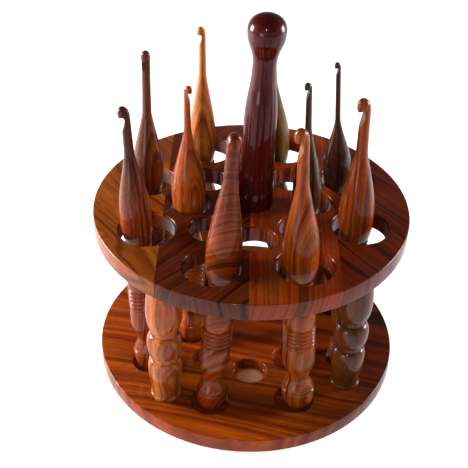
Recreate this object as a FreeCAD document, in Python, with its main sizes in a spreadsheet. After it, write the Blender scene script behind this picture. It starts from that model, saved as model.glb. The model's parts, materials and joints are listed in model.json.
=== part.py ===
"""Turned rosewood stand with ten crochet hooks, as a parametric FreeCAD document.

Millimetres, +Z up. The origin is the centre of the base's underside. The joints between
the boards of the top plate run along Y. Each hook stands in a recess of the base and
leans a little in the hole above it.
"""

import FreeCAD
import Part
import Sketcher

import math
import os

from FreeCAD import Placement, Rotation, Vector

STAND = {
    # the two round plates
    "base_radius": 106,
    "base_thick": 11,
    "plate_radius": 105,
    "plate_thick": 12.2,
    "plate_gap": 102.8,
    "rim_round": 0.8,
    # the joints between the four boards of the top plate, from the middle along X
    "left_joint": -57.8,
    "middle_joint": -1,
    "right_joint": 54.6,
    "strip_margin": 5,
    # two rings of holes, turned half a step from each other, and the recesses under them
    "ring_count": 8,
    "ring_turn": -18.6,
    "outer_ring": 74.5,
    "inner_ring": 40.8,
    "outer_hole": 18,
    "inner_hole": 13.1,
    "hole_round": 1.2,
    "outer_recess": 13.1,
    "inner_recess": 11.8,
    "recess_depth": 5.3,
    "recess_round": 0.8,
    # the four posts, each one a long bead, a short bead and a tapered bead on a foot
    "post_ring": 84,
    "post_1_turn": -34.6,
    "post_2_turn": 48.9,
    "post_3_turn": -130.4,
    "post_4_turn": 141,
    "post_top": 10,
    "long_bead": 12,
    "long_bead_height": 73,
    "upper_notch": 8.3,
    "upper_notch_height": 56.7,
    "short_bead": 11.8,
    "short_bead_height": 46.4,
    "lower_notch": 8.9,
    "lower_notch_height": 34.6,
    "notch_width": 3,
    "tapered_bead": 11.4,
    "tapered_bead_height": 26,
    "post_ankle": 9.3,
    "post_foot": 10,
    "foot_height": 2.4,
    "tenon_radius": 5,
    "tenon_length": 6,
    "glue_gap": 0.1,
    # the carrying handle in the middle
    "handle_foot": 12.1,
    "handle_shoulder_height": 62,
    "handle_shoulder": 10.4,
    "handle_neck": 7.4,
    "handle_neck_height": 102,
    "handle_knob": 11.9,
    "handle_knob_height": 123.5,
    "handle_height": 133.6,
    "handle_offset": 1.6,
    "handle_lean": 1.6,
    "handle_tenon": 4.5,
    # what the hooks share: heights above the end of the tail
    "ball_height": 14.8,
    "tail_neck_height": 28,
    "bulge_height": 43.6,
    "rings_height": 56,
    "ring_pitch": 3.3,
    "bead_height": 79.5,
    "cove_height": 97,
    "collar_height": 110.4,
    "collar_thick": 2.6,
    "bulb_height": 131,
    "cut_depth": 0.7,
}

POSTS = 4
RING_BEADS = 5

# shares of a hook's tail radius, where two stretches of the tail meet
NECK_SHARE = 0.65
RINGS_SHARE = 0.86
COVE_SHARE = 0.68

# shares of a hook's shaft radius: the slim end of the slope under the shaft, and the beak
SLIM_SHARE = 1.15
BEAK_REACH = 0.52
BEAK_RADIUS = 1.12
BEAK_RISE = 2.9
THROAT_DEPTH = 0.2

# Every hook is a different crochet size and hand-made, so each has sizes of its own.
# seat counts round the ring; tail, bulb and shaft are radii; run is the height of the slope
# from the bulb to the shaft; foot is how far along X the tail stands from the middle of its
# recess; lean_x and lean_y are the slopes in degrees along X and Y; throat is the direction
# in which the throat opens, in degrees from X.
HOOKS = {
    "hook_1": {"ring": "outer", "seat": 5, "tail": 10.8, "bulb": 10.3, "shaft": 2.8, "run": 44,
               "length": 207, "foot": -0.8, "lean_x": -2.8, "lean_y": 0.6, "throat": 185},
    "hook_2": {"ring": "outer", "seat": 6, "tail": 10.3, "bulb": 11.1, "shaft": 3.9, "run": 50,
               "length": 212, "foot": 0.2, "lean_x": 3, "lean_y": 0.5, "throat": 80},
    "hook_3": {"ring": "outer", "seat": 7, "tail": 11.1, "bulb": 11.2, "shaft": 3.4, "run": 46,
               "length": 214.5, "foot": 2.9, "lean_x": -2.65, "lean_y": 0.9, "throat": 192},
    "hook_4": {"ring": "outer", "seat": 0, "tail": 11.5, "bulb": 11.4, "shaft": 3.3, "run": 44,
               "length": 212, "foot": -0.3, "lean_x": -1.4, "lean_y": 0.6, "throat": 190},
    "hook_5": {"ring": "outer", "seat": 1, "tail": 10, "bulb": 9.7, "shaft": 1.6, "run": 36,
               "length": 209, "foot": 2, "lean_x": -4.4, "lean_y": 0, "throat": 188},
    "hook_6": {"ring": "outer", "seat": 2, "tail": 10.3, "bulb": 10.6, "shaft": 2.4, "run": 44,
               "length": 211, "foot": 1.5, "lean_x": -4, "lean_y": -0.5, "throat": 90},
    "hook_7": {"ring": "outer", "seat": 3, "tail": 10.8, "bulb": 9.5, "shaft": 2.3, "run": 50,
               "length": 215, "foot": -1.6, "lean_x": -0.4, "lean_y": 0, "throat": 182},
    "hook_8": {"ring": "outer", "seat": 4, "tail": 11.4, "bulb": 10.4, "shaft": 2.7, "run": 42,
               "length": 217.5, "foot": -2, "lean_x": 0.7, "lean_y": 0, "throat": 270},
    "hook_9": {"ring": "inner", "seat": 5, "tail": 10.3, "bulb": 11.5, "shaft": 2, "run": 46,
               "length": 207, "foot": 0.8, "lean_x": -0.75, "lean_y": 0, "throat": 350},
    "hook_10": {"ring": "inner", "seat": 1, "tail": 6.9, "bulb": 9.6, "shaft": 1.9, "run": 46,
                "length": 209, "foot": 2.25, "lean_x": -2.85, "lean_y": 0, "throat": 195},
}

doc = FreeCAD.newDocument("CrochetStand")
sheet = doc.addObject("Spreadsheet::Sheet", "Sizes")


class Size:
    """A number together with the spreadsheet expression that gives it."""

    def __init__(self, number, text):
        self.number = number
        self.text = text

    def __add__(self, other):
        other = as_size(other)
        return Size(self.number + other.number, f"({self.text} + {other.text})")

    def __sub__(self, other):
        other = as_size(other)
        return Size(self.number - other.number, f"({self.text} - {other.text})")

    def __mul__(self, other):
        other = as_size(other)
        return Size(self.number * other.number, f"{self.text} * {other.text}")

    def __truediv__(self, other):
        other = as_size(other)
        return Size(self.number / other.number, f"{self.text} / ({other.text})")

    def __neg__(self):
        return Size(-self.number, f"(0 - {self.text})")


def as_size(value):
    """Wrap a plain number, so that it mixes with sizes from the sheet."""
    if isinstance(value, Size):
        return value
    return Size(value, f"({value})")


def cosine(angle):
    return Size(math.cos(math.radians(angle.number)), f"cos({angle.text})")


def sine(angle):
    return Size(math.sin(math.radians(angle.number)), f"sin({angle.text})")


def fill_sheet():
    """Write every driving dimension into its own cell, under its own name."""
    values = dict(STAND)
    for hook, sizes in HOOKS.items():
        for name, value in sizes.items():
            if name != "ring":
                values[f"{hook}_{name}"] = value
    for row, (name, value) in enumerate(values.items(), start=1):
        sheet.set(f"A{row}", name)
        sheet.set(f"B{row}", str(value))
        sheet.setAlias(f"B{row}", name)
    doc.recompute()


def size(name):
    """A driving dimension, by its name in the sheet."""
    return Size(float(getattr(sheet, name)), f"Sizes.{name}")


def bind(item, path, value):
    item.setExpression(path, as_size(value).text)


def new_body(name):
    body = doc.addObject("PartDesign::Body", name)
    body.Label = name
    return body


def new_sketch(body, name, role, turn=None):
    """A sketch on one of the body's own planes, turned about the body's Z if asked."""
    sketch = body.newObject("Sketcher::SketchObject", name)
    for plane in body.Origin.OriginFeatures:
        if plane.Role == role:
            sketch.AttachmentSupport = [(plane, "")]
    sketch.MapMode = "FlatFace"
    if turn is not None:
        upright = role == "XZ_Plane"
        axis = Vector(0, 1, 0) if upright else Vector(0, 0, 1)
        sketch.AttachmentOffset = Placement(Vector(), Rotation(axis, turn.number))
        bind(sketch, "AttachmentOffset.Rotation.Angle", turn)
    return sketch


class Outline:
    """A closed profile in a sketch, drawn from point to point, each bound to the sheet."""

    def __init__(self, sketch, x, y):
        self.sketch = sketch
        self.here = (as_size(x), as_size(y))
        self.first = None
        self.last = None
        self.origin = self.here
        self.rules = []
        self.ties = []

    def constrain(self, *parts):
        """Keep a constraint until the outline closes, and give its index in the sketch."""
        self.rules.append(Sketcher.Constraint(*parts))
        return len(self.rules) - 1

    def tie(self, index, value):
        """Bind one of the kept constraints to the sheet."""
        self.ties.append((index, value))

    def pin(self, item, vertex, x, y):
        """Tie one vertex to its two coordinates."""
        for kind, axis, value in (("DistanceX", -2, as_size(x)), ("DistanceY", -1, as_size(y))):
            if abs(value.number) < 1e-9:
                self.constrain("PointOnObject", item, vertex, axis)
                continue
            if value.number > 0:
                index = self.constrain(kind, -1, 1, item, vertex, value.number)
            else:
                value = -value
                index = self.constrain(kind, item, vertex, -1, 1, value.number)
            self.tie(index, value)

    def join(self, item, start, end, x, y):
        """Join a new edge to the outline, and place its far end."""
        if self.last is None:
            self.pin(item, start, *self.here)
            self.first = (item, start)
        else:
            self.constrain("Coincident", *self.last, item, start)
        self.pin(item, end, x, y)
        self.last = (item, end)
        self.here = (as_size(x), as_size(y))

    def vector(self, x, y):
        return Vector(as_size(x).number, as_size(y).number, 0)

    def line_to(self, x, y):
        edge = Part.LineSegment(self.vector(*self.here), self.vector(x, y))
        item = self.sketch.addGeometry(edge, False)
        self.join(item, 1, 2, x, y)

    def arc_to(self, x, y, radius, left_turn):
        """An arc of less than half a circle, turning left or right on its way."""
        start = self.vector(*self.here)
        end = self.vector(x, y)
        chord = end - start
        reach = math.sqrt(max(radius.number ** 2 - chord.Length ** 2 / 4, 0))
        side = Vector(-chord.y, chord.x, 0).normalize() * (reach if left_turn else -reach)
        centre = (start + end) / 2 + side
        angles = [math.atan2(p.y - centre.y, p.x - centre.x) for p in (start, end)]
        circle = Part.Circle(centre, Vector(0, 0, 1), radius.number)
        if left_turn:
            item = self.sketch.addGeometry(Part.ArcOfCircle(circle, *angles), False)
            self.join(item, 1, 2, x, y)
        else:
            item = self.sketch.addGeometry(Part.ArcOfCircle(circle, *reversed(angles)), False)
            self.join(item, 2, 1, x, y)
        self.tie(self.constrain("Radius", item, radius.number), radius)

    def curve_to(self, *poles):
        """A spline through its two ends, pulled by the poles between them."""
        points = [self.here, *poles]
        spline = Part.BSplineCurve()
        spline.buildFromPoles([self.vector(*point) for point in points], False, 3)
        item = self.sketch.addGeometry(spline, False)
        if self.last is None:
            self.first = (item, 1)
        for number, point in enumerate(points):
            mark = Part.Circle(self.vector(*point), Vector(0, 0, 1), 1)
            pole = self.sketch.addGeometry(mark, True)
            self.constrain("Weight", pole, 1.0)
            self.constrain("InternalAlignment:Sketcher::BSplineControlPoint", pole, 3, item, number)
            if number == 0 and self.last is not None:
                self.constrain("Coincident", *self.last, pole, 3)
            else:
                self.pin(pole, 3, *point)
        self.last = (item, 2)
        self.here = (as_size(poles[-1][0]), as_size(poles[-1][1]))

    def ogee_to(self, x, y):
        """From one widest or narrowest place to the next, upright at both."""
        old_x, old_y = self.here
        rise = (as_size(y) - old_y) * 0.45
        self.curve_to((old_x, old_y + rise), (x, as_size(y) - rise), (x, y))

    def bead_out_to(self, x, y):
        """The rounded start of a bead: out of a corner, upright at the end."""
        old_x, old_y = self.here
        out = (as_size(x) - old_x) * 0.6
        rise = as_size(y) - old_y
        self.curve_to((old_x + out, old_y + rise * 0.08), (x, as_size(y) - rise * 0.55), (x, y))

    def bead_in_to(self, x, y):
        """The rounded end of a bead: upright at the start, into a corner."""
        old_x, old_y = self.here
        back = (old_x - x) * 0.6
        rise = as_size(y) - old_y
        self.curve_to((old_x, old_y + rise * 0.55), (as_size(x) + back, as_size(y) - rise * 0.08), (x, y))

    def close(self):
        """A straight edge back to the first point."""
        edge = Part.LineSegment(self.vector(*self.here), self.vector(*self.origin))
        item = self.sketch.addGeometry(edge, False)
        self.constrain("Coincident", *self.last, item, 1)
        self.constrain("Coincident", item, 2, *self.first)
        self.sketch.addConstraint(self.rules)
        for index, value in self.ties:
            bind(self.sketch, f"Constraints[{index}]", value)


def revolve(body, sketch, name, cut=False, axis="V_Axis"):
    """Turn a profile right round, as new wood or as a cut."""
    kind = "PartDesign::Groove" if cut else "PartDesign::Revolution"
    feature = body.newObject(kind, name)
    feature.Profile = sketch
    feature.ReferenceAxis = (sketch, [axis])
    feature.Angle = 360
    sketch.Visibility = False
    doc.recompute()
    return feature


def repeat_round(body, feature, name, count):
    """Repeat a cut round the body's Z axis."""
    pattern = body.newObject("PartDesign::PolarPattern", name)
    pattern.Originals = [feature]
    for axis in body.Origin.OriginFeatures:
        if axis.Role == "Z_Axis":
            pattern.Axis = (axis, [""])
    pattern.Angle = 360
    pattern.Occurrences = int(count.number)
    bind(pattern, "Occurrences", count)
    body.Tip = pattern
    doc.recompute()
    return pattern


def turned_disc(body, radius, low, high):
    """A flat round plate with its two rims eased."""
    ease = size("rim_round")
    half = ease / 2
    outline = Outline(new_sketch(body, "disc_outline", "XZ_Plane"), 0, low)
    outline.line_to(radius - ease, low)
    outline.curve_to((radius - half, low), (radius, low + half), (radius, low + ease))
    outline.line_to(radius, high - ease)
    outline.curve_to((radius, high - half), (radius - half, high), (radius - ease, high))
    outline.line_to(0, high)
    outline.close()
    revolve(body, outline.sketch, "disc")


def off_axis_turn(body, name, ring, turn, draw, cut=True):
    """Something round whose own axis stands off the body's; draw makes its profile."""
    sketch = new_sketch(body, f"{name}_outline", "XZ_Plane", turn)
    low = Vector(ring.number, -1, 0)
    axis = sketch.addGeometry(Part.LineSegment(low, low + Vector(0, 2, 0)), True)
    outline = draw(sketch)
    for vertex, height in ((1, -1), (2, 1)):
        outline.pin(axis, vertex, ring, height)
    outline.close()
    return revolve(body, sketch, name, cut=cut, axis="Axis0")


def hole_outline(ring, radius, low, high):
    """The profile of a through hole with both its edges rounded over."""
    ease = size("hole_round")

    def draw(sketch):
        outline = Outline(sketch, ring, low)
        outline.line_to(ring + radius + ease, low)
        outline.arc_to(ring + radius, low + ease, ease, True)
        outline.line_to(ring + radius, high - ease)
        outline.arc_to(ring + radius + ease, high, ease, True)
        outline.line_to(ring, high)
        return outline

    return draw


def recess_outline(ring, radius, floor, mouth):
    """The profile of a shallow recess with an eased mouth and a rounded corner below."""
    ease = size("recess_round")

    def draw(sketch):
        outline = Outline(sketch, ring, floor)
        outline.line_to(ring + radius - ease, floor)
        outline.arc_to(ring + radius, floor + ease, ease, True)
        outline.line_to(ring + radius, mouth - ease)
        outline.arc_to(ring + radius + ease, mouth, ease, False)
        outline.line_to(ring, mouth)
        return outline

    return draw


def mortise_outline(ring, radius, low, high):
    """The profile of a plain round mortise."""

    def draw(sketch):
        outline = Outline(sketch, ring, low)
        outline.line_to(ring + radius, low)
        outline.line_to(ring + radius, high)
        outline.line_to(ring, high)
        return outline

    return draw


def centre_cut(body, name, radius, low, high):
    """A plain round cut on the body's own axis."""
    sketch = new_sketch(body, f"{name}_outline", "XZ_Plane")
    mortise_outline(as_size(0), radius, low, high)(sketch).close()
    revolve(body, sketch, name, cut=True)


fill_sheet()

base_top = size("base_thick")
plate_low = base_top + size("plate_gap")
plate_high = plate_low + size("plate_thick")
inner_turn = size("ring_turn") - as_size(180) / size("ring_count")
RINGS = {
    "outer": {"radius": size("outer_ring"), "turn": size("ring_turn")},
    "inner": {"radius": size("inner_ring"), "turn": inner_turn},
}
mortise_radius = size("tenon_radius") + size("glue_gap")
mortise_depth = size("tenon_length") + size("glue_gap")
socket_radius = size("handle_tenon") + size("glue_gap")


def cut_post_mortises(body, low, high):
    """The four round mortises that take the posts' tenons."""
    ring = size("post_ring")
    for number in range(1, POSTS + 1):
        draw = mortise_outline(ring, mortise_radius, low, high)
        off_axis_turn(body, f"post_{number}_mortise", ring, size(f"post_{number}_turn"), draw)


def make_base():
    """The lower plate, with sixteen recesses for the hooks' tails."""
    body = new_body("base")
    turned_disc(body, size("base_radius"), as_size(0), base_top)
    floor = base_top - size("recess_depth")
    for ring, place in RINGS.items():
        draw = recess_outline(place["radius"], size(f"{ring}_recess"), floor, base_top)
        cut = off_axis_turn(body, f"{ring}_recess", place["radius"], place["turn"], draw)
        repeat_round(body, cut, f"{ring}_recesses", size("ring_count"))
    low = base_top - mortise_depth
    cut_post_mortises(body, low, base_top)
    return body


def make_plate_blank():
    """The upper plate before it is parted into its boards."""
    body = new_body("plate_blank")
    turned_disc(body, size("plate_radius"), plate_low, plate_high)
    for ring, place in RINGS.items():
        draw = hole_outline(place["radius"], size(f"{ring}_hole"), plate_low, plate_high)
        cut = off_axis_turn(body, f"{ring}_hole", place["radius"], place["turn"], draw)
        repeat_round(body, cut, f"{ring}_holes", size("ring_count"))
    cut_post_mortises(body, plate_low, plate_low + mortise_depth)
    centre_cut(body, "handle_hole", socket_radius, plate_low, plate_high)
    return body


def make_boards(blank):
    """The four boards that the upper plate is glued up from."""
    margin = size("strip_margin")
    reach = size("plate_radius") + margin
    edges = [-reach, size("left_joint"), size("middle_joint"), size("right_joint"), reach]
    boards = []
    for number, (left, right) in enumerate(zip(edges, edges[1:]), start=1):
        name = f"top_board_{number}"
        strip = doc.addObject("Part::Box", f"{name}_strip")
        bind(strip, "Length", right - left)
        bind(strip, "Width", reach * 2)
        bind(strip, "Height", size("plate_thick") + margin * 2)
        bind(strip, "Placement.Base.x", left)
        bind(strip, "Placement.Base.y", -reach)
        bind(strip, "Placement.Base.z", plate_low - margin)
        board = doc.addObject("Part::Common", name)
        board.Label = name
        board.Base = blank
        board.Tool = strip
        boards.append(board)
    doc.recompute()
    return boards


def make_post(number):
    """One turned post, with a tenon at each end."""
    body = new_body(f"post_{number}")
    tall = size("plate_gap")
    tenon = size("tenon_radius")
    reach = size("tenon_length")
    outline = Outline(new_sketch(body, "turning", "XZ_Plane"), 0, -reach)
    outline.line_to(tenon, -reach)
    outline.line_to(tenon, 0)
    outline.line_to(size("post_foot"), 0)
    outline.line_to(size("post_foot"), size("foot_height") * 0.6)
    outline.bead_in_to(size("post_ankle"), size("foot_height"))
    outline.ogee_to(size("tapered_bead"), size("tapered_bead_height"))
    for notch, bead in (("lower_notch", "short_bead"), ("upper_notch", "long_bead")):
        middle = size(f"{notch}_height")
        half = size("notch_width") / 2
        outline.bead_in_to(size(notch), middle - half)
        outline.line_to(size(notch), middle + half)
        outline.bead_out_to(size(bead), size(f"{bead}_height"))
    outline.ogee_to(size("post_top"), tall)
    outline.line_to(tenon, tall)
    outline.line_to(tenon, tall + reach)
    outline.line_to(0, tall + reach)
    outline.close()
    revolve(body, outline.sketch, "post_turning")
    angle = size(f"post_{number}_turn")
    bind(body, "Placement.Base.x", size("post_ring") * cosine(angle))
    bind(body, "Placement.Base.y", size("post_ring") * sine(angle))
    bind(body, "Placement.Base.z", base_top)
    return body


def make_handle():
    """The carrying handle. It leans a little, and its foot is trimmed to sit flat."""
    body = new_body("handle")
    lean = size("handle_lean")
    sink = size("handle_foot") * sine(lean) * 2
    offset = size("handle_offset")
    tilt = Rotation(Vector(0, 0, 1), -lean.number)
    sketch = new_sketch(body, "turning", "XZ_Plane")
    sketch.AttachmentOffset = Placement(Vector(offset.number, 0, 0), tilt)
    bind(sketch, "AttachmentOffset.Base.x", offset)
    bind(sketch, "AttachmentOffset.Rotation.Angle", -lean)
    outline = Outline(sketch, 0, -sink)
    outline.line_to(size("handle_foot"), -sink)
    outline.ogee_to(size("handle_shoulder"), size("handle_shoulder_height"))
    outline.ogee_to(size("handle_neck"), size("handle_neck_height"))
    outline.ogee_to(size("handle_knob"), size("handle_knob_height"))
    top = size("handle_height")
    crown = (top - size("handle_knob_height")) * 0.6
    outline.curve_to(
        (size("handle_knob"), size("handle_knob_height") + crown),
        (size("handle_knob") * 0.6, top),
        (0, top),
    )
    outline.close()
    revolve(body, sketch, "handle_turning")
    centre_cut_below(body, sink)
    tenon = new_sketch(body, "tenon_outline", "XZ_Plane")
    reach = size("plate_thick") - size("glue_gap")
    outline = Outline(tenon, 0, -reach)
    outline.line_to(size("handle_tenon"), -reach)
    outline.line_to(size("handle_tenon"), 0)
    outline.line_to(0, 0)
    outline.close()
    revolve(body, tenon, "tenon")
    bind(body, "Placement.Base.z", plate_high)
    return body


def centre_cut_below(body, depth):
    """Trim away what reaches below the body's own XY plane."""
    width = size("handle_foot") * 2
    centre_cut(body, "foot_trim", width, -depth * 2, as_size(0))


def turn_section(body, name, low, draw, *sizes):
    """Turn one stretch of a hook: draw takes the outline up from the radius at its foot."""
    outline = Outline(new_sketch(body, f"{name}_outline", "XZ_Plane"), 0, low)
    draw(outline, *sizes)
    if outline.here[0].number > 0:
        outline.line_to(0, outline.here[1])
    outline.close()
    return revolve(body, outline.sketch, name)


def draw_ball(outline, tail):
    """The ball that stands in the recess, with one fine groove round it, and its neck."""
    cut = size("cut_depth")
    outline.curve_to(
        (tail * 0.72, 0),
        (tail, size("ball_height") * 0.38),
        (tail, size("ball_height")),
    )
    groove = size("ball_height") + cut * 4
    outline.bead_in_to(tail * 0.97, groove)
    outline.line_to(tail * 0.97 - cut, groove + cut)
    outline.line_to(tail * 0.95, groove + cut * 2)
    outline.curve_to(
        (tail * 0.88, groove + cut * 6),
        (tail * NECK_SHARE, size("tail_neck_height") - cut * 4),
        (tail * NECK_SHARE, size("tail_neck_height")),
    )


def draw_bulge(outline, tail):
    """The bulge above the neck."""
    outline.line_to(tail * NECK_SHARE, size("tail_neck_height"))
    outline.ogee_to(tail * 0.98, size("bulge_height"))
    outline.bead_in_to(tail * RINGS_SHARE, size("rings_height"))


def draw_rings(outline, tail):
    """The stack of fine rings."""
    radius = tail * RINGS_SHARE
    pitch = size("ring_pitch")
    outline.line_to(radius, size("rings_height"))
    for ring in range(1, RING_BEADS + 1):
        outline.arc_to(radius, size("rings_height") + pitch * ring, pitch * 0.56, True)


def draw_bead(outline, tail):
    """The bead over the rings, drawn in to the cove."""
    outline.line_to(tail * RINGS_SHARE, size("rings_height") + size("ring_pitch") * RING_BEADS)
    outline.bead_out_to(tail * 0.95, size("bead_height"))
    outline.ogee_to(tail * COVE_SHARE, size("cove_height"))


def draw_collar(outline, tail):
    """The thin collar under the bulb."""
    low = size("collar_height") - size("collar_thick")
    outline.line_to(tail * COVE_SHARE, size("cove_height"))
    outline.ogee_to(tail * 0.76, low)
    outline.bead_out_to(tail * 0.8, low + size("collar_thick") / 2)
    outline.bead_in_to(tail * 0.74, size("collar_height"))


def draw_bulb(outline, bulb, shaft, run):
    """The egg-shaped bulb of the grip, and the slope that runs from it into the shaft."""
    cut = size("cut_depth")
    slim = size("bulb_height") + run
    outline.line_to(bulb * 0.7, size("collar_height"))
    outline.line_to(bulb * 0.78, size("collar_height") + cut)
    outline.curve_to(
        (bulb * 0.94, size("collar_height") + cut * 6),
        (bulb, size("bulb_height") - cut * 12),
        (bulb, size("bulb_height")),
    )
    outline.curve_to(
        (bulb, size("bulb_height") + run * 0.32),
        (shaft * 1.45 + bulb * 0.1, slim - run * 0.32),
        (shaft * SLIM_SHARE, slim),
    )


def draw_shaft(outline, shaft, run, length):
    """The slim shaft up to its rounded end."""
    slim = size("bulb_height") + run
    neck = length - shaft * BEAK_RISE
    end = length - shaft * 0.3
    outline.line_to(shaft * SLIM_SHARE, slim)
    outline.curve_to(
        (shaft * 1.05, slim + (neck - slim) * 0.3),
        (shaft, neck - shaft),
        (shaft, neck),
    )
    outline.curve_to((shaft, length - shaft * 1.3), (shaft * 0.7, end), (0, end))


def add_beak(body, name, shaft, length):
    """The head's beak: an egg standing off the shaft's axis on the throat's side."""
    reach = shaft * BEAK_REACH
    radius = shaft * BEAK_RADIUS
    rise = shaft * BEAK_RISE
    low = length - rise

    def draw(sketch):
        outline = Outline(sketch, reach, low)
        outline.line_to(reach + radius * 0.5, low)
        outline.bead_out_to(reach + radius, low + rise * 0.45)
        outline.curve_to(
            (reach + radius, low + rise * 0.8),
            (reach + radius * 0.6, length),
            (reach, length),
        )
        return outline

    return off_axis_turn(body, "beak", reach, size(f"{name}_throat"), draw, cut=False)


def cut_throat(body, name, shaft, length):
    """The throat: a rounded notch under the beak, and a ramp down to the shaft."""
    sketch = new_sketch(body, "throat_outline", "XZ_Plane", size(f"{name}_throat"))
    low = length - shaft * BEAK_RISE
    deep = shaft * THROAT_DEPTH
    outside = shaft * 3
    outline = Outline(sketch, outside, low + shaft * 0.1)
    outline.line_to(shaft * 1.55, low + shaft * 0.1)
    outline.curve_to(
        (shaft * 0.95, low + shaft),
        (deep, low + shaft * 0.9),
        (deep, low - shaft * 0.2),
    )
    outline.curve_to(
        (deep, low - shaft * 1.2),
        (shaft * 0.85, low - shaft * 2.4),
        (shaft * 1.3, low - shaft * 4),
    )
    outline.line_to(outside, low - shaft * 4)
    outline.close()
    pocket = body.newObject("PartDesign::Pocket", "throat")
    pocket.Profile = sketch
    pocket.Midplane = True
    pocket.Type = "Length"
    bind(pocket, "Length", shaft * 8)
    sketch.Visibility = False
    doc.recompute()


def make_hook(name, ring):
    """One crochet hook, turned in one piece and leaning in its hole."""
    body = new_body(name)
    length = size(f"{name}_length")
    shaft = size(f"{name}_shaft")
    tail = size(f"{name}_tail")
    run = size(f"{name}_run")
    collar = size("collar_height")
    rings_top = size("rings_height") + size("ring_pitch") * RING_BEADS
    turn_section(body, "ball", as_size(0), draw_ball, tail)
    turn_section(body, "bulge", size("tail_neck_height"), draw_bulge, tail)
    turn_section(body, "rings", size("rings_height"), draw_rings, tail)
    turn_section(body, "bead", rings_top, draw_bead, tail)
    turn_section(body, "collar", size("cove_height"), draw_collar, tail)
    turn_section(body, "bulb", collar, draw_bulb, size(f"{name}_bulb"), shaft, run)
    slim = size("bulb_height") + run
    turn_section(body, "shaft", slim, draw_shaft, shaft, run, length)
    head = add_beak(body, name, shaft, length)
    cut_throat(body, name, shaft, length)
    if body.Shape.Volume >= head.Shape.Volume:
        raise RuntimeError(f"{name}: the throat cuts nothing")
    place = RINGS[ring]
    angle = place["turn"] + size(f"{name}_seat") * 360 / size("ring_count")
    lean_x = size(f"{name}_lean_x").number
    lean_y = size(f"{name}_lean_y").number
    up = Vector(math.tan(math.radians(lean_x)), math.tan(math.radians(lean_y)), 1)
    body.Placement = Placement(Vector(), Rotation(Vector(0, 0, 1), up))
    bind(body, "Placement.Base.x", place["radius"] * cosine(angle) + size(f"{name}_foot"))
    bind(body, "Placement.Base.y", place["radius"] * sine(angle))
    bind(body, "Placement.Base.z", base_top - size("recess_depth") + size("glue_gap"))
    return body


def check(pieces):
    """Stop unless every object worked and every piece is one sound solid."""
    for item in doc.Objects:
        if "Invalid" in item.State or "Error" in item.State:
            raise RuntimeError(f"{item.Label} failed: {item.State}")
    for piece in pieces:
        shape = piece.Shape
        if shape.isNull() or not shape.isValid() or len(shape.Solids) != 1:
            raise RuntimeError(f"{piece.Label} is not one sound solid")


def main():
    pieces = [make_base()]
    pieces += make_boards(make_plate_blank())
    pieces += [make_post(number) for number in range(1, POSTS + 1)]
    pieces += [make_handle()]
    pieces += [make_hook(name, hook["ring"]) for name, hook in HOOKS.items()]
    doc.recompute()
    check(pieces)
    os.makedirs("parts", exist_ok=True)
    for piece in pieces:
        piece.Shape.exportStep(f"parts/{piece.Label}.step")
        print(piece.Label, round(piece.Shape.Volume), "mm3")


main()
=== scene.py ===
import json
import math

import bmesh
import bpy
from mathutils import Matrix, Vector

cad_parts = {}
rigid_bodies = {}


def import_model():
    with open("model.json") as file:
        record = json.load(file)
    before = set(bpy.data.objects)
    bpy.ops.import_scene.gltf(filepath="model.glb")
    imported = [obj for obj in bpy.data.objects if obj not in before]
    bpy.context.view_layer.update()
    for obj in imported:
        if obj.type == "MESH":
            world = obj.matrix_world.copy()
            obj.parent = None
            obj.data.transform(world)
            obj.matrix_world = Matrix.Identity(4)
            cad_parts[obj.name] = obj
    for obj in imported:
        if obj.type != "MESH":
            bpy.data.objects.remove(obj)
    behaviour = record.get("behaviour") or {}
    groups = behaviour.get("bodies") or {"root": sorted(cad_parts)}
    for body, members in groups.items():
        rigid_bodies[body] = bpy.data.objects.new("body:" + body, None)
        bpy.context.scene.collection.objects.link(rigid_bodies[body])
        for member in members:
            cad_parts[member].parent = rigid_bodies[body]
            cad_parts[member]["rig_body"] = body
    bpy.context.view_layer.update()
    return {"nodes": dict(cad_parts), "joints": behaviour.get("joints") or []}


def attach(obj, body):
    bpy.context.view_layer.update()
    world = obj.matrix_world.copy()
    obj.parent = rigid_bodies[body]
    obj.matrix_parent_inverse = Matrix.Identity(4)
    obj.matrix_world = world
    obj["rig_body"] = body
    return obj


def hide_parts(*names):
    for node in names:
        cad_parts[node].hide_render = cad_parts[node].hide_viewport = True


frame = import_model()
nodes = frame["nodes"]
print("frame loaded:", len(nodes), "nodes")


def addNode(tree, kind, inputs=None, **settings):
    node = tree.nodes.new(kind)
    for name, value in settings.items():
        setattr(node, name, value)
    for socket, value in (inputs or {}).items():
        if isinstance(value, bpy.types.NodeSocket):
            tree.links.new(value, node.inputs[socket])
        else:
            node.inputs[socket].default_value = value
    return node


def calc(tree, operation, *values, clamp=False):
    inputs = dict(enumerate(values))
    return addNode(tree, "ShaderNodeMath", inputs, operation=operation, use_clamp=clamp).outputs[0]


def vectorCalc(tree, operation, *values):
    # a length or a distance comes out of its own socket
    node = addNode(tree, "ShaderNodeVectorMath", dict(enumerate(values)), operation=operation)
    return node.outputs["Value" if operation in ("LENGTH", "DISTANCE") else "Vector"]


def along(tree, vector, axis):
    return addNode(tree, "ShaderNodeSeparateXYZ", {0: vector}).outputs[axis]


def stretch(tree, vector, scale):
    return addNode(tree, "ShaderNodeMapping", {"Vector": vector, "Scale": scale}).outputs[0]


def noise(tree, inputs, detail, roughness=0.5, **settings):
    given = {"Scale": 1.0, "Detail": detail, "Roughness": roughness, **inputs}
    return addNode(tree, "ShaderNodeTexNoise", given, **settings)


def spread(tree, value, low, high, toLow=0.0, toHigh=1.0):
    inputs = {
        "Value": value, "From Min": low, "From Max": high, "To Min": toLow, "To Max": toHigh,
    }
    return addNode(tree, "ShaderNodeMapRange", inputs).outputs["Result"]


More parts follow.
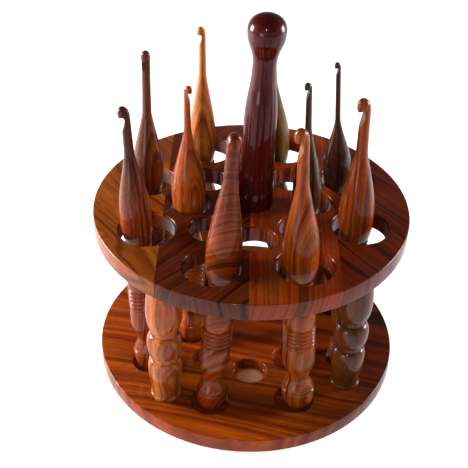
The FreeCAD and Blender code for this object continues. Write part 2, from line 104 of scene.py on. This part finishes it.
def ramp(tree, value, stops):
    node = addNode(tree, "ShaderNodeValToRGB", {"Fac": value})
    band = node.color_ramp
    while len(band.elements) < len(stops):
        band.elements.new(0.5)
    for element, (place, colour) in zip(band.elements, stops):
        element.position = place
        element.color = (*colour, 1)
    return node.outputs["Color"]


def blendColour(tree, mode, amount, first, second):
    # a colour may be given as three numbers
    inputs = {}
    for socket, value in ((0, amount), (6, first), (7, second)):
        inputs[socket] = (*value, 1) if isinstance(value, (tuple, list)) else value
    return addNode(tree, "ShaderNodeMix", inputs, data_type="RGBA", blend_type=mode).outputs[2]


def linkToScene(thing):
    bpy.context.scene.collection.objects.link(thing)
    return thing


# which way each grain is laid: the turn that brings it upright
layUpright = (0, 0, 0)
layAlongX = (0, -90, 0)
layAlongY = (90, 0, 0)

usualLook = {
    "lay": layUpright, "turn": 0, "waveShape": (22, 22, 7), "curl": 0.4, "soft": 0.27,
    "fibre": 0.8, "varnish": 0.38, "varnishRough": 0.1,
}
grain = {
    "seedStep": 0.37, "middle": 0.5, "across": (1, 1, 0),
    "ringStart": 0.5, "fray": 0.35, "darkEnd": 0.3, "midEnd": 0.65, "brightest": 1.15,
    "fibreShape": (900, 900, 22), "fibreRange": (0.32, 0.66),
    "fibreDark": (0.72, 0.66, 0.62), "fibreLight": (1.1, 1.1, 1.1),
    "streakPitch": 0.23, "streakRange": (0.56, 0.66), "streakTone": 0.5,
    "patchScale": 1.7, "patchRange": (0.35, 0.65), "patchShare": 0.8,
    "patchRed": (1.1, 0.82, 0.75), "patchYellow": (0.96, 1.12, 1.15),
    "poreShape": (1900, 1900, 130), "poreRange": (0.62, 0.7), "poreShare": 0.7,
    "poreTone": (0.3, 0.24, 0.2),
    "fibreHeight": 0.3, "bumpStrength": 0.12, "bumpDistance": 0.0002,
}
varnish = {"roughFrom": (0.3, 0.7), "rough": (0.3, 0.46), "coatIor": 1.42, "specular": 0.06}
# where the painted pool of light lies: its height, its top and bottom edges and its reach
paintedPoolShape = {
    "height": 0.006, "top": (0.0063, 0.0057), "bottom": (0.004, 0.005), "edge": (0.011, 0.008),
}


def layGrain(tree, look, place):
    # turn the piece's own coordinates until the grain stands upright, then bend them a little
    turned = addNode(tree, "ShaderNodeMapping", {
        "Vector": place,
        "Rotation": (0, 0, math.radians(look["turn"])),
    })
    laid = addNode(tree, "ShaderNodeMapping", {
        "Vector": turned.outputs[0],
        "Rotation": [math.radians(angle) for angle in look["lay"]],
        "Location": (*look["pith"], look["seed"] * grain["seedStep"]),
    }).outputs[0]
    slow = stretch(tree, laid, look["waveShape"])
    wave = noise(tree, {"Vector": slow, "Distortion": look["curl"]}, 3.0).outputs["Color"]
    centred = vectorCalc(tree, "SUBTRACT", wave, (grain["middle"],) * 3)
    shift = addNode(tree, "ShaderNodeVectorMath", {0: centred, "Scale": look["wobble"]},
                    operation="SCALE").outputs[0]
    bent = vectorCalc(tree, "ADD", laid, shift)
    radius = vectorCalc(tree, "LENGTH", vectorCalc(tree, "MULTIPLY", bent, grain["across"]))
    return laid, slow, radius


def ringColour(tree, look, radius, fibre):
    # growth rings, frayed by the fibres, with a few broad dark streaks
    fray = calc(tree, "MULTIPLY_ADD", fibre, grain["fray"], grain["ringStart"])
    step = calc(tree, "MULTIPLY_ADD", radius, look["rings"], fray)
    rings = noise(tree, {"W": step}, 5.0, 0.62, noise_dimensions="1D").outputs["Fac"]
    half = look["soft"]
    tone = spread(tree, rings, grain["middle"] - half, grain["middle"] + half)
    colour = ramp(tree, tone, (
        (0.0, look["dark"]),
        (grain["darkEnd"], look["mid"]),
        (grain["midEnd"], look["light"]),
        (1.0, [channel * grain["brightest"] for channel in look["light"]]),
    ))
    slowStep = calc(tree, "MULTIPLY", radius, look["rings"] * grain["streakPitch"])
    broad = noise(tree, {"W": slowStep}, 3.0, noise_dimensions="1D").outputs["Fac"]
    streak = spread(tree, broad, *grain["streakRange"])
    streak = calc(tree, "MULTIPLY", streak, look["streak"], clamp=True)
    darkest = [channel * grain["streakTone"] for channel in look["dark"]]
    return blendColour(tree, "MIX", streak, colour, darkest)


def paintShadeOnSide(tree, look, place, colour):
    # painted shade: the colour is darkened towards one side or end, where the piece gets less
    # light
    axis, start, end, shade = look["dusk"]
    darker = spread(tree, along(tree, place, axis), start, end)
    return blendColour(tree, "MULTIPLY", darker, colour, shade)


def paintedLightPoolShare(tree, look, place):
    # painted light: a pale pool on the floor of one recess, where light falls through the empty
    # hole above
    height = along(tree, place, "Z")
    share = spread(tree, height, *paintedPoolShape["top"])
    share = calc(tree, "MULTIPLY", share, spread(tree, height, *paintedPoolShape["bottom"]))
    reach = vectorCalc(tree, "DISTANCE", place, (*look["paintedLightPlace"], paintedPoolShape["height"]))
    return calc(tree, "MULTIPLY", share, spread(tree, reach, *paintedPoolShape["edge"]))


def rosewood(name, pieceLook):
    # varnished rosewood: growth rings round a pith line, streaks, fibres and pores, with painted
    # shade or a painted pool of light on some pieces
    look = {**usualLook, **pieceLook}
    material = bpy.data.materials.new(name)
    material.use_nodes = True
    tree = material.node_tree
    tree.nodes.clear()
    place = addNode(tree, "ShaderNodeTexCoord").outputs["Object"]
    laid, slow, radius = layGrain(tree, look, place)
    fine = stretch(tree, laid, grain["fibreShape"])
    fibre = noise(tree, {"Vector": fine}, 2.0, 0.6).outputs["Fac"]
    colour = ringColour(tree, look, radius, fibre)
    # patches that are redder or yellower than the rest
    patch = noise(tree, {"Vector": slow, "Scale": grain["patchScale"]}, 2.0).outputs["Fac"]
    patch = spread(tree, patch, *grain["patchRange"])
    tint = ramp(tree, patch, ((0.0, grain["patchRed"]), (1.0, grain["patchYellow"])))
    colour = blendColour(tree, "MULTIPLY", grain["patchShare"], colour, tint)
    fibreTone = spread(tree, fibre, *grain["fibreRange"])
    grainy = ramp(tree, fibreTone, ((0.0, grain["fibreDark"]), (1.0, grain["fibreLight"])))
    colour = blendColour(tree, "MULTIPLY", look["fibre"], colour, grainy)
    # painted shade towards one side or end
    if "dusk" in look:
        colour = paintShadeOnSide(tree, look, place, colour)
    # painted light: a pale pool in one recess
    if "paintedLightColour" in look:
        share = paintedLightPoolShare(tree, look, place)
        colour = blendColour(tree, "MIX", share, colour, look["paintedLightColour"])
    # short dark pores
    small = stretch(tree, laid, grain["poreShape"])
    pore = noise(tree, {"Vector": small}, 1.0).outputs["Fac"]
    pore = spread(tree, pore, *grain["poreRange"])
    poreShare = calc(tree, "MULTIPLY", pore, grain["poreShare"])
    colour = blendColour(tree, "MULTIPLY", poreShare, colour, grain["poreTone"])
    height = calc(tree, "SUBTRACT", calc(tree, "MULTIPLY", fibre, grain["fibreHeight"]), pore)
    bump = addNode(tree, "ShaderNodeBump", {
        "Height": height, "Strength": grain["bumpStrength"], "Distance": grain["bumpDistance"],
    })
    shader = addNode(tree, "ShaderNodeBsdfPrincipled", {
        "Base Color": colour,
        "Roughness": spread(tree, fibre, *varnish["roughFrom"], *varnish["rough"]),
        "Normal": bump.outputs[0],
        "Coat Weight": look["varnish"],
        "Coat Roughness": look["varnishRough"],
        "Coat IOR": varnish["coatIor"],
        "Specular IOR Level": varnish["specular"],
    })
    out = addNode(tree, "ShaderNodeOutputMaterial")
    tree.links.new(shader.outputs[0], out.inputs[0])
    return material


meshing = {"joinWithin": 2e-6, "dropBelow": 1e-7, "keenAngle": 32, "hookKeenAngle": 40}


def dressedCopy(node, name, keenAngle=meshing["keenAngle"]):
    # a joined-up copy of a CAD node, smooth but for its real edges
    mesh = nodes[node].data.copy()
    mesh.name = name
    mesh.materials.clear()
    work = bmesh.new()
    work.from_mesh(mesh)
    bmesh.ops.remove_doubles(work, verts=work.verts, dist=meshing["joinWithin"])
    bmesh.ops.dissolve_degenerate(work, dist=meshing["dropBelow"], edges=work.edges)
    for face in work.faces:
        face.smooth = True
    keen = math.radians(keenAngle)
    for edge in work.edges:
        if len(edge.link_faces) == 2:
            edge.smooth = edge.calc_face_angle(0) < keen
    work.to_mesh(mesh)
    work.free()
    while mesh.uv_layers:
        mesh.uv_layers.remove(mesh.uv_layers[0])
    if mesh.has_custom_normals:
        mesh.attributes.remove(mesh.attributes["custom_normal"])
    return linkToScene(bpy.data.objects.new(name, mesh))


def finishPiece(piece, node, material):
    piece.data.materials.clear()
    piece.data.materials.append(material)
    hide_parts(node)
    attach(piece, nodes[node]["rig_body"])


baseLook = {
    "lay": layAlongX, "turn": 13, "pith": (0.06, 0.35), "seed": 1, "rings": 150, "wobble": 0.035,
    "waveShape": (9, 9, 3), "curl": 0.2, "dark": (0.0496, 0.00496, 0.0003),
    "mid": (0.142, 0.0186, 0.0008), "light": (0.283, 0.0496, 0.00202), "streak": 0.75,
    # painted shade: the base is darkened towards +X, where the top plate shades it
    "soft": 0.3, "dusk": ("X", 0.025, 0.085, (0.3, 0.24, 0.2)), "paintedLightColour": (0.42, 0.2, 0.09),
    # painted light: the pale pool of light in the front recess, its colour and its place
    "paintedLightPlace": (0.003, -0.044),
}
boardLooks = {
    "top_board_1": {
        "lay": layAlongY, "turn": -38, "pith": (0.14, 0.16), "seed": 2, "rings": 120,
        "wobble": 0.07, "dark": (0.0645, 0.00951, 0.0003), "mid": (0.133, 0.0252, 0.0009),
        "light": (0.264, 0.0672, 0.00432), "streak": 0.5, "soft": 0.26,
    },
    "top_board_2": {
        "lay": layAlongY, "turn": 40, "pith": (0.2, 0.1), "seed": 3, "rings": 420, "wobble": 0.03,
        "dark": (0.016, 0.00192, 0.0001), "mid": (0.0456, 0.00528, 0.0004),
        "light": (0.101, 0.0168, 0.0012), "streak": 0.8, "soft": 0.4,
    },
    "top_board_3": {
        "lay": layAlongY, "turn": 1, "pith": (0.4, 0.2), "seed": 4, "rings": 420, "wobble": 0.008,
        "dark": (0.0563, 0.00574, 0.0003), "mid": (0.145, 0.0165, 0.0005),
        "light": (0.243, 0.0342, 0.00115), "streak": 0.6, "soft": 0.42,
    },
    "top_board_4": {
        "lay": layAlongY, "turn": -40, "pith": (0.25, 0.14), "seed": 5, "rings": 420,
        "wobble": 0.03, "dark": (0.0231, 0.00196, 0.0001), "mid": (0.0617, 0.00524, 0.0001),
        "light": (0.123, 0.0142, 0.0004), "streak": 0.75, "soft": 0.4,
    },
}
baseWood = rosewood("baseRosewood", baseLook)
finishPiece(dressedCopy("base", "baseDisc"), "base", baseWood)
for number, (node, look) in enumerate(boardLooks.items(), start=1):
    material = rosewood(f"boardRosewood{number}", look)
    finishPiece(dressedCopy(node, f"topBoard{number}"), node, material)
print("base and top boards dressed")


postLook = {
    "pith": (0.02, 0.13), "seed": 6, "rings": 190, "wobble": 0.03,
    "dark": (0.0745, 0.00983, 0.00153), "mid": (0.215, 0.041, 0.00612),
    "light": (0.414, 0.121, 0.0229), "streak": 0.5, "soft": 0.34, "fibre": 1.0,
    # painted shade: the post standing towards +X is darkened, as it stands in shade
    "dusk": ("X", 0.04, 0.06, (0.24, 0.19, 0.17)), "varnish": 0.5, "varnishRough": 0.06,
}
handleLook = {
    "pith": (0.016, 0.03), "seed": 8, "rings": 330, "wobble": 0.02, "waveShape": (22, 22, 5),
    "dark": (0.00808, 0.0003, 0.0000), "mid": (0.031, 0.00108, 0.0001),
    "light": (0.073, 0.00308, 0.0003), "streak": 0.7, "varnish": 0.45, "varnishRough": 0.03,
}
postWood = rosewood("postRosewood", postLook)
for number in range(1, 5):
    node = f"post_{number}"
    finishPiece(dressedCopy(node, f"turnedPost{number}"), node, postWood)
handleWood = rosewood("handleRosewood", handleLook)
finishPiece(dressedCopy("handle", "carryHandle"), "handle", handleWood)
print("posts and handle dressed")


ringStack = {
    "first": 0.056, "pitch": 0.0033, "count": 5, "wire": 0.0006, "proud": 0.0002,
    "around": 64, "wireSides": 10, "crestShare": 0.2,
}
hookLooks = {
    "hook_1": {
        "pith": (0.02, 0.02), "seed": 11, "rings": 300, "wobble": 0.02,
        "dark": (0.0277, 0.0039, 0.0009), "mid": (0.095, 0.0137, 0.00211),
        "light": (0.238, 0.039, 0.00528), "streak": 0.6,
        # painted shade: the upper end is darkened
        "dusk": ("Z", 0.145, 0.175, (0.3, 0.4, 0.5)),
    },
    "hook_2": {
        "lay": (-48, 0, 0), "pith": (0.0, 0.05), "seed": 12, "rings": 330, "wobble": 0.012,
        "dark": (0.0374, 0.00368, 0.0001), "mid": (0.106, 0.0127, 0.0005),
        "light": (0.225, 0.0368, 0.00144), "streak": 0.5, "soft": 0.34,
        # painted shade: the upper end is darkened
        "dusk": ("Z", 0.15, 0.19, (0.7, 0.6, 0.5)),
    },
    "hook_3": {
        "pith": (0.03, 0.02), "seed": 13, "rings": 330, "wobble": 0.015,
        "dark": (0.0393, 0.00428, 0.0002), "mid": (0.131, 0.0198, 0.0009),
        "light": (0.275, 0.0527, 0.00288), "streak": 0.7,
    },
    "hook_4": {
        "pith": (0.015, 0.025), "seed": 14, "rings": 380, "wobble": 0.02,
        "dark": (0.0444, 0.00555, 0.0002), "mid": (0.133, 0.0198, 0.0009),
        "light": (0.266, 0.0515, 0.00259), "streak": 0.6,
    },
    "hook_5": {
        "pith": (0.02, 0.02), "seed": 15, "rings": 300, "wobble": 0.02,
        "dark": (0.00588, 0.00144, 0.0005), "mid": (0.0189, 0.00432, 0.00125),
        "light": (0.0504, 0.0126, 0.0035), "streak": 0.7,
    },
    "hook_6": {
        "pith": (0.03, 0.02), "seed": 16, "rings": 300, "wobble": 0.02,
        "dark": (0.0253, 0.00823, 0.00119), "mid": (0.0722, 0.0318, 0.00495),
        "light": (0.144, 0.0823, 0.0158), "streak": 0.5,
    },
    "hook_7": {
        "pith": (0.02, 0.02), "seed": 17, "rings": 360, "wobble": 0.02,
        "dark": (0.0836, 0.0158, 0.00176), "mid": (0.261, 0.0634, 0.00792),
        "light": (0.502, 0.166, 0.0264), "streak": 0.6,
    },
    "hook_8": {
        "pith": (0.025, 0.02), "seed": 18, "rings": 300, "wobble": 0.02,
        "dark": (0.0206, 0.00336, 0.0005), "mid": (0.0619, 0.00984, 0.00132),
        "light": (0.132, 0.028, 0.00396), "streak": 0.6,
    },
    "hook_9": {
        "pith": (0.03, 0.02), "seed": 19, "rings": 320, "wobble": 0.02,
        "dark": (0.0748, 0.0105, 0.0006), "mid": (0.215, 0.0341, 0.00203),
        "light": (0.393, 0.0787, 0.00546), "streak": 0.5,
    },
    "hook_10": {
        "pith": (0.03, 0.02), "seed": 20, "rings": 300, "wobble": 0.015,
        "dark": (0.0098, 0.00211, 0.0004), "mid": (0.0336, 0.00952, 0.00231),
        "light": (0.067, 0.0253, 0.00695), "streak": 0.4,
    },
}


def ringStackTree():
    # a straight stack of thin rings, one above another
    tree = bpy.data.node_groups.new("tailRings", "GeometryNodeTree")
    sockets = {}
    for name, kind in (
        ("Ring Radius", "NodeSocketFloat"),
        ("Wire Radius", "NodeSocketFloat"),
        ("Pitch", "NodeSocketFloat"),
        ("Count", "NodeSocketInt"),
        ("Around", "NodeSocketInt"),
        ("Wire Sides", "NodeSocketInt"),
        ("Wood", "NodeSocketMaterial"),
    ):
        given = tree.interface.new_socket(name, in_out="INPUT", socket_type=kind)
        sockets[name] = given.identifier
    tree.interface.new_socket("Geometry", in_out="OUTPUT", socket_type="NodeSocketGeometry")
    given = addNode(tree, "NodeGroupInput").outputs
    circle = addNode(tree, "GeometryNodeCurvePrimitiveCircle",
                     {"Resolution": given["Around"], "Radius": given["Ring Radius"]})
    wire = addNode(tree, "GeometryNodeCurvePrimitiveCircle",
                   {"Resolution": given["Wire Sides"], "Radius": given["Wire Radius"]})
    ring = addNode(tree, "GeometryNodeCurveToMesh",
                   {"Curve": circle.outputs[0], "Profile Curve": wire.outputs[0]})
    rise = addNode(tree, "ShaderNodeCombineXYZ", {"Z": given["Pitch"]})
    line = addNode(tree, "GeometryNodeMeshLine",
                   {"Count": given["Count"], "Offset": rise.outputs[0]})
    rings = addNode(tree, "GeometryNodeInstanceOnPoints",
                    {"Points": line.outputs[0], "Instance": ring.outputs[0]})
    real = addNode(tree, "GeometryNodeRealizeInstances", {0: rings.outputs[0]})
    smooth = addNode(tree, "GeometryNodeSetShadeSmooth", {"Geometry": real.outputs[0]})
    dressed = addNode(tree, "GeometryNodeSetMaterial",
                      {"Geometry": smooth.outputs[0], "Material": given["Wood"]})
    result = addNode(tree, "NodeGroupOutput")
    tree.links.new(dressed.outputs[0], result.inputs[0])
    return tree, sockets


ringTree, ringSockets = ringStackTree()


def lowestCrest(hook, axis):
    # the middle and radius of the lowest ring bead, measured from the hook's own turning
    points = [vertex.co.copy() for vertex in hook.data.vertices]
    low = min(point.dot(axis) for point in points)
    height = low + ringStack["first"] + ringStack["pitch"] / 2
    margin = ringStack["pitch"] * ringStack["crestShare"]
    near = [point for point in points if abs(point.dot(axis) - height) < margin]
    alongAxis = sum(point.dot(axis) for point in near) / len(near)
    middle = sum(near, Vector()) / len(near)
    middle += axis * (height - alongAxis)
    offsets = [point - middle for point in near]
    radius = max((offset - axis * offset.dot(axis)).length for offset in offsets)
    return middle, radius


def tailRings(hook, axis, material):
    # the fine rings of one tail, set on its leaning axis
    middle, crest = lowestCrest(hook, axis)
    holder = linkToScene(bpy.data.objects.new("ringHolder", bpy.data.meshes.new("ringHolder")))
    modifier = holder.modifiers.new("rings", "NODES")
    modifier.node_group = ringTree
    for name, value in (
        ("Ring Radius", crest + ringStack["proud"] - ringStack["wire"]),
        ("Wire Radius", ringStack["wire"]),
        ("Pitch", ringStack["pitch"]),
        ("Count", ringStack["count"]),
        ("Around", ringStack["around"]),
        ("Wire Sides", ringStack["wireSides"]),
        ("Wood", material),
    ):
        modifier[ringSockets[name]] = value
    evaluated = holder.evaluated_get(bpy.context.evaluated_depsgraph_get())
    mesh = bpy.data.meshes.new_from_object(evaluated)
    bpy.data.objects.remove(holder)
    upright = axis.to_track_quat("Z", "Y").to_matrix().to_4x4()
    mesh.transform(Matrix.Translation(middle) @ upright)
    return mesh


def joinMesh(piece, extra):
    work = bmesh.new()
    work.from_mesh(piece.data)
    work.from_mesh(extra)
    work.to_mesh(piece.data)
    work.free()


slides = {joint["child"]: joint for joint in frame["joints"]}
for node, look in hookLooks.items():
    number = node.split("_")[1]
    material = rosewood(f"hookRosewood{number}", look)
    hook = dressedCopy(node, f"crochetHook{number}", meshing["hookKeenAngle"])
    axis = Vector(slides[nodes[node]["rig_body"]]["axis"]).normalized()
    joinMesh(hook, tailRings(hook, axis, material))
    finishPiece(hook, node, material)
print("hooks dressed")


ground = {
    "radius": 4.0, "sides": 96, "tone": (0.55, 0.55, 0.56), "roughness": 0.9,
    "glow": 0.75, "dimShare": 0.1, "dusk": (-0.75, -0.27),
}
sky = {
    "from": -0.05,
    "stops": (
        (0.0, (1.0, 1.0, 1.0)),
        (0.12, (0.7, 0.7, 0.72)),
        (0.3, (0.16, 0.16, 0.18)),
        (1.0, (0.1, 0.1, 0.11)),
    ),
}
lights = {
    "boxSize": (0.3, 0.36), "boxColour": (0.92, 0.95, 1.0),
    "boxes": {
        "leftBox": ((-0.75, 0.16, 0.3), 18.0),
        "rightBox": ((0.78, 0.2, 0.3), 11.0),
        "frontBox": ((-0.45, -0.75, 0.12), 2.2),
    },
    "lampPlace": (-0.08, -0.62, 0.62), "lampPower": 5.0, "lampRadius": 0.022,
}
camera = {
    "place": (-0.01105, -0.5178, 0.4786), "target": (-0.01105, 0.0, 0.09957), "roll": 1.714,
    "lens": 72.12, "sensor": 36.0, "near": 0.01, "far": 20,
}


def makeFloor():
    # a wide pale floor, less bright well in front of the stand
    mesh = bpy.data.meshes.new("studioFloor")
    work = bmesh.new()
    bmesh.ops.create_circle(work, cap_ends=True, segments=ground["sides"], radius=ground["radius"])
    work.to_mesh(mesh)
    work.free()
    paint = bpy.data.materials.new("paleFloor")
    paint.use_nodes = True
    tree = paint.node_tree
    place = addNode(tree, "ShaderNodeTexCoord").outputs["Object"]
    dimmed = ground["glow"] * ground["dimShare"]
    glow = spread(tree, along(tree, place, "Y"), *ground["dusk"], dimmed, ground["glow"])
    shader = tree.nodes["Principled BSDF"].inputs
    shader["Base Color"].default_value = (*ground["tone"], 1)
    shader["Roughness"].default_value = ground["roughness"]
    shader["Specular IOR Level"].default_value = 0.0
    shader["Emission Color"].default_value = (1, 1, 1, 1)
    tree.links.new(glow, shader["Emission Strength"])
    mesh.materials.append(paint)
    return linkToScene(bpy.data.objects.new("studioFloor", mesh))


def makeSky():
    world = bpy.data.worlds.new("studioWorld")
    world.use_nodes = True
    tree = world.node_tree
    tree.nodes.clear()
    direction = addNode(tree, "ShaderNodeTexCoord").outputs["Generated"]
    upward = along(tree, direction, "Z")
    colour = ramp(tree, spread(tree, upward, sky["from"], 1.0), sky["stops"])
    light = addNode(tree, "ShaderNodeBackground", {"Color": colour, "Strength": 1.0})
    out = addNode(tree, "ShaderNodeOutputWorld")
    tree.links.new(light.outputs[0], out.inputs[0])
    bpy.context.scene.world = world


def placeLight(name, kind, place):
    light = bpy.data.lights.new(name, kind)
    lamp = linkToScene(bpy.data.objects.new(name, light))
    lamp.location = place
    toTarget = Vector(camera["target"]) - Vector(place)
    lamp.rotation_euler = toTarget.to_track_quat("-Z", "Y").to_euler()
    return light


def placeCamera():
    data = bpy.data.cameras.new("viewCamera")
    data.sensor_width = camera["sensor"]
    data.lens = camera["lens"]
    data.clip_start = camera["near"]
    data.clip_end = camera["far"]
    viewer = linkToScene(bpy.data.objects.new("viewCamera", data))
    bpy.context.scene.camera = viewer
    ahead = (Vector(camera["target"]) - Vector(camera["place"])).normalized()
    right = ahead.cross(Vector((0, 0, 1))).normalized()
    up = right.cross(ahead)
    cosRoll = math.cos(math.radians(camera["roll"]))
    sinRoll = math.sin(math.radians(camera["roll"]))
    axes = Matrix((right * cosRoll + up * sinRoll, up * cosRoll - right * sinRoll, -ahead))
    viewer.matrix_world = Matrix.Translation(camera["place"]) @ axes.transposed().to_4x4()


floor = makeFloor()
makeSky()
for name, (place, power) in lights["boxes"].items():
    box = placeLight(name, "AREA", place)
    box.shape = "RECTANGLE"
    box.size, box.size_y = lights["boxSize"]
    box.energy = power
    box.color = lights["boxColour"]
lamp = placeLight("smallLamp", "POINT", lights["lampPlace"])
lamp.energy = lights["lampPower"]
lamp.shadow_soft_size = lights["lampRadius"]
placeCamera()
bpy.context.scene.view_settings.view_transform = "Standard"
print("studio set")
